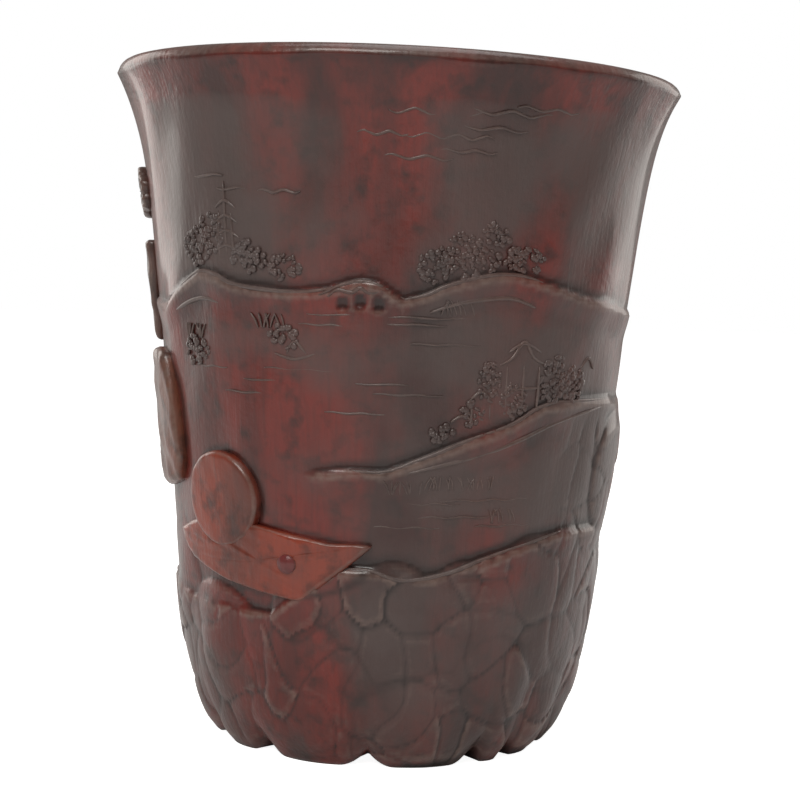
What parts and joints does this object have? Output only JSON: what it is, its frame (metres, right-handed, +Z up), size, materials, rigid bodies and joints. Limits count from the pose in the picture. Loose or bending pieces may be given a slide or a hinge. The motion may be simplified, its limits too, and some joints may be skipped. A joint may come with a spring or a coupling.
{
  "type": "bamboo brush pot",
  "caption": "Flared bamboo brush pot with a carved landscape, raised inlaid carvings, a rocky foot and a plug floor.",
  "frame": {"origin": "on the table plane under the middle of the pot", "axes": "+Z up through the mouth, -Y towards the front with the carved shore, +X to the right"},
  "size_m": [0.127, 0.127, 0.1501],
  "materials": {
    "culm_bamboo": "glossy worn dark red-brown patina",
    "floor_bamboo": "satin dark brown",
    "applied_bamboo": "glossy worn orange-red patina"
  },
  "bodies": {
    "root": {"culm_wall": "culm_bamboo", "base_disc": "floor_bamboo", "round_boss": "applied_bamboo", "ledge_plate": "applied_bamboo", "cliff_plate_low": "applied_bamboo", "cliff_plate_high": "applied_bamboo", "pine_pad_right": "applied_bamboo", "pine_pad_middle": "applied_bamboo", "pine_pad_left": "applied_bamboo", "pine_trunk": "applied_bamboo", "ledge_stud": "applied_bamboo"}
  },
  "joints": []
}
